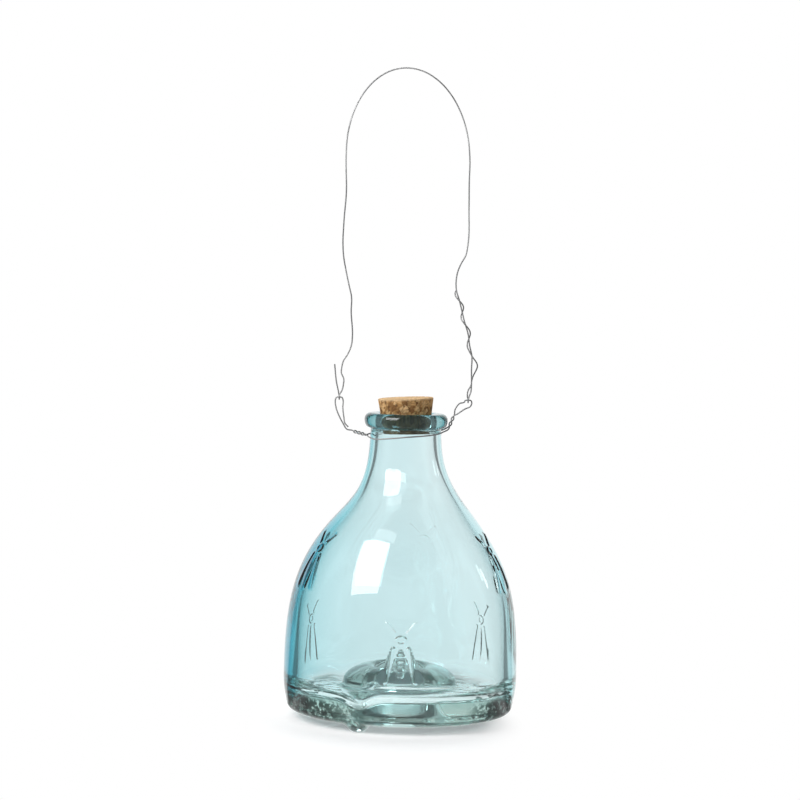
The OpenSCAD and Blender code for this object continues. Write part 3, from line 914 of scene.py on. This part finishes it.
print("cork:", round(2 * low_r / mm, 1), "to", round(2 * high_r / mm, 1), "mm across")

# %% [markdown]
# The gaps between granules are the borders of Voronoi cells, and the lost crumbs are the peaks of a
# noise. Both are pressed in as real pits, and a layer keeps their depth so that the material can
# darken them, partly as the cork's own dark gaps and partly as painted shade in the hollows. A
# second layer marks the top rim, where the material paints light on. Last, the cork leans as it was
# pushed in.

# %% Crumble it
granule, granule_h, stirring = 2.6 * mm, 1.9 * mm, 0.35
gap_width, gap_depth, gap_patch = 0.16, 0.75, 6 * mm
crumb_size, crumb_seed, crumb_from, crumb_fade = 2.1 * mm, Vector((5, 9, 2)), 0.28, 0.2
pit_depth, top_light_width, top_light_fade = 0.32 * mm, 1.3 * mm, 0.8 * mm
cork_lean, cork_seat_z = math.radians(3), glass_h - mouth_round

pit = bm.verts.layers.float.new("pit")
painted_top_light = bm.verts.layers.float.new("painted_top_light")
for v in bm.verts:
    spot = Vector((v.co.x / granule, v.co.y / granule, v.co.z / granule_h))
    near, _ = noise.voronoi(spot + stirring * noise.noise_vector(spot * 0.8))
    gap = ease((gap_width - (near[1] - near[0])) / gap_width)
    gap *= gap_depth * ease(noise.noise(v.co / gap_patch) + 0.75)
    crumb = ease((noise.noise(v.co / crumb_size + crumb_seed) - crumb_from) / crumb_fade)
    v[pit] = max(gap, crumb)
for v in bm.verts:
    v.co -= v.normal * v[pit] * pit_depth
    # painted light on the cork's top rim
    v[painted_top_light] = ease((v.co.z - cork_top + top_light_width) / top_light_fade)
lean = Matrix.Translation((0, 0, cork_seat_z)) @ Matrix.Rotation(-cork_lean, 4, "Y")
bmesh.ops.transform(bm, matrix=lean, verts=bm.verts)
print("pitted points:", sum(v[pit] > 0.5 for v in bm.verts), "of", len(bm.verts))

# %% [markdown]
# In the material each granule is a Voronoi cell too, on coordinates that a noise has stirred so
# that no border is straight. A ramp turns the cell's random value into a tan, and fine specks break
# it up. The pits darken it, partly as the cork's own dark gaps and partly as painted shade. Painted
# light brightens the top rim, and painted shade darkens the part inside the neck, where little
# light reaches.

# %% Cork granules
granule_scale, stir_scale, stir, speck_scale = 420.0, 380.0, 1.6 * mm, 1900.0
tans = ((0.0, (0.24, 0.11, 0.035, 1)), (0.3, (0.53, 0.29, 0.105, 1)),
        (0.65, (0.70, 0.42, 0.175, 1)), (1.0, (0.88, 0.57, 0.28, 1)))
speck_tone, pit_tone = (0.34, 0.17, 0.07, 1), (0.085, 0.035, 0.012, 1)
top_light_tone, neck_shade_tone = (0.78, 0.57, 0.34, 1), (0.02, 0.022, 0.012, 1)
speck_share, pit_share, top_light_share, neck_shade_share = 0.35, 0.8, 0.5, 0.7
neck_shade_edge = (glass_h - 2.5 * mm, glass_h - 0.5 * mm)

cork_finish, tree, shader = new_finish("pressed_cork", {
    "Roughness": 0.85, "Specular IOR Level": 0.25,
})
place = add_node(tree, "TexCoord").outputs["Object"]
stirrer = noise_node(tree, place, stir_scale, 2.0)
shift = vector_node(tree, "SUBTRACT", {0: stirrer.outputs["Color"], 1: (0.5, 0.5, 0.5)})
shift = vector_node(tree, "SCALE", {0: shift, "Scale": stir})
stirred = vector_node(tree, "ADD", {0: place, 1: shift})
granules = add_node(tree, "TexVoronoi", {
    "Vector": stirred, "Scale": granule_scale, "Randomness": 1.0,
})
shade = add_node(tree, "SeparateColor", {0: granules.outputs["Color"]}).outputs[0]
tones = add_node(tree, "ValToRGB", {"Fac": shade})
ramp = tones.color_ramp
for position, colour in tans:
    ends = {0.0: ramp.elements[0], 1.0: ramp.elements[-1]}
    stop = ends.get(position) or ramp.elements.new(position)
    stop.color = colour
specks = noise_node(tree, place, speck_scale, 3.0, 0.7).outputs["Fac"]
speck = step_between(tree, specks, 0.35, 0.65)
speckled = blend_colours(tree, speck, tones.outputs["Color"], speck_tone)
before_neck_shade = blend_colours(tree, speck_share, tones.outputs["Color"], speckled)
# pits: partly the cork's own dark gaps, partly painted shade in the hollows
hollow = math_node(tree, "MULTIPLY", layer_value(tree, "pit"), pit_share)
before_neck_shade = blend_colours(tree, hollow, before_neck_shade, pit_tone)
# painted light: the top rim is made lighter, as light falls on it
rim = math_node(tree, "MULTIPLY", layer_value(tree, "painted_top_light"), top_light_share)
before_neck_shade = blend_colours(tree, rim, before_neck_shade, top_light_tone)
level = add_node(tree, "SeparateXYZ", {0: place}).outputs["Z"]
# painted shade: the cork is darkened below the lip's top, inside the neck
painted_neck_shade = step_between(tree, level, *neck_shade_edge, neck_shade_share, 0.0)
grain = add_node(tree, "Bump", {"Height": specks, "Strength": 0.5, "Distance": 0.25 * mm})
fill_inputs(tree, shader, {
    "Base Color": blend_colours(tree, painted_neck_shade, before_neck_shade, neck_shade_tone), "Normal": grain.outputs[0],
})

finish_mesh("cork", bm, cork_finish, "cork", "cork_stopper")

# %% [markdown]
# ## The wires
# Two lengths of soft galvanised wire hold the trap. One goes round the neck and is twisted into an
# ear on each side; the other is the bail, hooked into the left ear, and looped through the right
# ear and wound back up round itself. Both follow listed points, joined by a smooth line. A curve
# with a bevel could make the tube, but a mesh that grows ring by ring gives even faces and closed
# ends.

# %% A smooth line and a tube along it
wire_d, wire_r, wire_sides, wire_step = 0.8 * mm, 0.385 * mm, 12, 0.7 * mm


def slope(points, i):
    if i == 0:
        return (points[1] - points[0]).normalized()
    if i == len(points) - 1:
        return (points[i] - points[i - 1]).normalized()
    back, ahead = points[i] - points[i - 1], points[i + 1] - points[i]
    u, v = back.length, ahead.length
    return (ahead * (u / v) + back * (v / u)) / (u + v)


def smooth_line(points, step):
    """A smooth line through points, with a point at least every step."""
    points = [Vector(p) for p in points]
    made = []
    for i, (p, q) in enumerate(zip(points, points[1:])):
        length = (q - p).length
        a, b = slope(points, i) * length, slope(points, i + 1) * length
        count = max(1, math.ceil(length / step))
        for t in (k / count for k in range(count)):
            s = 1 - t
            start = p * (1 + 2 * t) * s * s + a * t * s * s
            made.append(start + q * t * t * (3 - 2 * t) - b * t * t * s)
    return made + [points[-1]]


def wire_shape(route):
    """A round tube along a route, grown ring by ring from a circle."""
    path = smooth_line(route, wire_step)
    shape = bmesh.new()
    ahead, behind = path[1:] + path[-1:], path[:1] + path[:-1]
    headings = [(q - p).normalized() for p, q in zip(behind, ahead)]
    turn = headings[0].to_track_quat("Z", "Y").to_matrix().to_4x4()
    bmesh.ops.create_circle(shape, cap_ends=True, segments=wire_sides, radius=wire_r,
                            matrix=Matrix.Translation(path[0]) @ turn)
    edges = shape.edges[:]
    for i in range(1, len(path)):
        grown = bmesh.ops.extrude_edge_only(shape, edges=edges)["geom"]
        verts = [g for g in grown if isinstance(g, bmesh.types.BMVert)]
        edges = [g for g in grown if isinstance(g, bmesh.types.BMEdge)]
        swing = headings[i - 1].rotation_difference(headings[i]).to_matrix().to_4x4()
        move = Matrix.Translation(path[i]) @ swing @ Matrix.Translation(-path[i - 1])
        bmesh.ops.transform(shape, matrix=move, verts=verts)
    bmesh.ops.contextual_create(shape, geom=edges)
    return shape


# %% [markdown]
# The neck wire starts and ends in the twist of the left ear. Between, it runs behind the neck,
# up the twist of the right ear, round its tip and back in front of the neck. The collar tips a
# little, as a loose wire does. Numbers in the routes are millimetres and degrees.

# %% Helpers for the neck wire
strand_gap, collar_gap, collar_slack = 0.5 * mm, 0.3 * mm, 1.2 * mm
twist_r = (wire_d + strand_gap) / 2
collar_z, ear_z = glass_h - 13 * mm, glass_h + 8 * mm
collar_r = wall_radius(collar_z - collar_slack) + collar_gap + wire_d / 2
tip_left, tip_right, pin_half = -37.5 * mm, 34.2 * mm, 1.1 * mm
tip_corner = ((0.9, 1), (0.6, 0.3), (0, 0), (-0.4, 0))


def on_collar(angle, lift, out=0.0):
    angle, r = math.radians(angle), collar_r + out * mm
    return Vector((r * math.cos(angle), r * math.sin(angle), collar_z + lift * mm))


def strand(start, end, phase, turns, count):
    """One strand of a twist of two, from one point to another."""
    side = Vector((0, 1, 0))
    up = side.cross((end - start).normalized())
    made = []
    for i in range(count + 1):
        angle = math.radians(phase + 360 * turns * i / count)
        around = math.cos(angle) * side + math.sin(angle) * up
        made.append(start.lerp(end, i / count) + twist_r * around)
    return made


def ear_tip(x):
    """The ear's straight pin on the bail's axis, with rounded corners."""
    half = [Vector((pin_half + dx * mm, 0, -dz * mm)) for dx, dz in tip_corner]
    centre = Vector((x, 0, ear_z))
    return [centre + Vector((-p.x, 0, p.z)) for p in half] + [centre + p for p in reversed(half)]


def beside(x, p, back=0.0):
    """A point to the right of and above a place on the bail's axis, and behind it."""
    return Vector((x + p[0] * mm, back * mm, ear_z + p[1] * mm))


# %% Route of the neck wire
left_from = Vector((-collar_r - 2.6 * mm, 0, collar_z + 0.6 * mm))
left_to = Vector((-collar_r - 8.6 * mm, 0, collar_z + 2.2 * mm))
right_from = Vector((lip_r + 0.9 * mm, 0, lip_low_z + 1.6 * mm))
right_to = Vector((lip_r + 3.1 * mm, 0, lip_low_z + 7.2 * mm))
behind_neck = [(166, 0.7, 0.6), (148, 1), (120, 1.6), (90, 2), (60, 2.4), (35, 3), (16, 3.6, 0.4)]
before_neck = [(-16, 3, 0.4), (-35, 2.2), (-60, 1.6), (-90, 0.8), (-120, -0.4), (-148, -1.2),
               (-166, -0.4, 0.6)]
left_up = [((4.6, -17.8), 0.7), ((2.4, -14.6), 0.65), ((0.4, -11), 0.4), ((-1.6, -6), 0.1)]
left_down = [((2.1, -6), -0.1), ((2.8, -11), -0.5), ((3.6, -14.6), -0.65), ((5.4, -16.4), -0.6)]
neck_route = (
    strand(left_to, left_from, 180, 1.5, 14)
    + [on_collar(*p) for p in behind_neck]
    + strand(right_from, right_to, 0, 1, 10)
    + [beside(lip_r, (3.9, -5.4), 0.5), beside(tip_right, (-4.6, -1.9), 0.2)]
    + ear_tip(tip_right)
    + [beside(tip_right, (1.5, -3.2)), beside(tip_right, (-1.8, -5), -0.2)]
    + [beside(lip_r, (5.2, -7.8), -0.5)]
    + strand(right_from, right_to, 180, 1, 10)[::-1]
    + [on_collar(*p) for p in before_neck]
    + strand(left_from, left_to, 180, 1.5, 14)
    + [beside(tip_left, *p) for p in left_up]
    + ear_tip(tip_left)
    + [beside(tip_left, *p) for p in left_down]
)
print("neck wire: collar radius", round(collar_r / mm, 2), "mm, route points", len(neck_route))

# %% [markdown]
# The bail was bent by hand, so its legs wander. Each leg is a list of points, to the right of
# its ear and above it, and half an ellipse that sways to one side joins them at the top. The
# far end winds back up round the right leg in half turns that get closer, and its first half
# turn bulges.

# %% The bail's legs and arch
left_leg = [(1.3, 3.5), (2.1, 7), (2.3, 10), (0.8, 13.7), (1, 16.5), (2, 20.6), (3.6, 23),
            (6.2, 29.7), (6.5, 34), (5.5, 47.7), (5.4, 56.6), (4.3, 61), (2.2, 70), (0.5, 79),
            (0.1, 84), (0.3, 97), (1.3, 115), (0.8, 128)]
right_leg = [(-2.5, 121), (-2.3, 107.5), (-2.5, 85), (-3.3, 80.5), (-5.7, 76), (-7.5, 71.5),
             (-8.3, 67), (-8.1, 61), (-6.2, 55), (-4.7, 49.3), (-3.2, 43.8), (-0.9, 36.4),
             (0, 30.6), (1.4, 24.8), (1.4, 17), (1.6, 9), (1.3, 4.5)]
bail_h, arch_h, arch_sway = 183 * mm, 49 * mm, -1.5 * mm
arch_left, arch_right = tip_left + 0.7 * mm, tip_right - 2.5 * mm
arch_mid, arch_half = (arch_left + arch_right) / 2, (arch_right - arch_left) / 2
arch_z = ear_z + bail_h - arch_h
arch = []
for a in (math.radians(180 - 15 * i) for i in range(13)):
    x = arch_mid + arch_half * math.cos(a) + arch_sway * math.sin(a)
    arch.append(Vector((x, 0, arch_z + arch_h * math.sin(a))))
print("bail: top at", round(max(p.z for p in arch) / mm, 1), "mm")

# %% The wound end
wind_from, wind_top, half_turns, points_each = 9 * mm, 61 * mm, 6, 6
wind_r, wind_bulge, wind_closer = 1.08 * (wire_d + strand_gap), 1.8 * mm, 1.5
wound_leg = [beside(tip_right, p) for p in right_leg[-2:4:-1]]
leg_line = [(p.z, p.x) for p in smooth_line(wound_leg, 1 * mm)]


def leg_at(z):
    upper = min(len(leg_line) - 1, max(1, bisect.bisect(leg_line, (z, 0.0))))
    (z0, x0), (z1, x1) = leg_line[upper - 1], leg_line[upper]
    return x0 + (x1 - x0) * min(1.0, max(0.0, (z - z0) / (z1 - z0)))


wound_end = []
for t in (i / (points_each * half_turns) for i in range(points_each * half_turns + 1)):
    z = ear_z + wind_from + (wind_top - wind_from) * t
    angle = math.pi * half_turns * t**wind_closer
    r = wind_r + (wind_bulge * math.sin(angle) if angle < math.pi else 0)
    wound_end.append(Vector((leg_at(z) + r * math.sin(angle), r * math.cos(angle), z)))
print("wound end:", half_turns, "half turns, points", len(wound_end))

# %% Route of the bail
hook_r, loop_r = 1.2 * mm, 1.3 * mm


def hook(x, r):
    """Half a turn under an ear's pin, from front to back."""
    angles = [math.radians(a) for a in range(0, 181, 30)]
    return [Vector((x, -r * math.cos(a), ear_z - r * math.sin(a))) for a in angles]


tail = [((-3, 18.3), 0.6), ((-1.8, 8.5), 0.6), ((-0.3, 1.8), 0.9)]
left_start = [((0.3, 1.8), -0.9), (left_leg[0], -0.4)]
right_end = [(right_leg[-1], -0.5), ((0.4, 1.8), -1)]
loop_end = [((-0.4, 1.8), 1), ((-0.4, 4.5), 0.7)]
bail_route = (
    [beside(tip_left, *p) for p in tail]
    + hook(tip_left, hook_r)[::-1]
    + [beside(tip_left, *p) for p in left_start]
    + [beside(tip_left, p) for p in left_leg[1:]]
    + arch
    + [beside(tip_right, p) for p in right_leg[:-1]]
    + [beside(tip_right, *p) for p in right_end]
    + hook(tip_right, loop_r)
    + [beside(tip_right, *p) for p in loop_end]
    + wound_end
)
print("bail: route points", len(bail_route))

# %% [markdown]
# Zinc on old wire is dull grey and blotchy: a wide noise mixes a dark and a pale zinc, and a
# fine one makes the roughness uneven, as the bloom on the metal does.

# %% Galvanised wire
dark_zinc, pale_zinc = (0.25, 0.252, 0.255, 1), (0.5, 0.502, 0.505, 1)
blotch_scale, bloom_scale = 38.0, 1200.0
blotch_edge, bloom_edge, zinc_roughness = (0.4, 0.68), (0.3, 0.7), (0.6, 0.66)

wire_finish, tree, shader = new_finish("galvanised_wire", {"Metallic": 1.0})
place = add_node(tree, "TexCoord").outputs["Object"]
blotches = noise_node(tree, place, blotch_scale, 2.0).outputs["Fac"]
bloom = noise_node(tree, place, bloom_scale, 2.0).outputs["Fac"]
worn = step_between(tree, blotches, *blotch_edge)
fill_inputs(tree, shader, {
    "Base Color": blend_colours(tree, worn, dark_zinc, pale_zinc),
    "Roughness": step_between(tree, bloom, *bloom_edge, *zinc_roughness),
})

finish_mesh("neck_loop", wire_shape(neck_route), wire_finish, "collar", "neck_wire")
finish_mesh("bail_loop", wire_shape(bail_route), wire_finish, "bail", "hanging_wire")
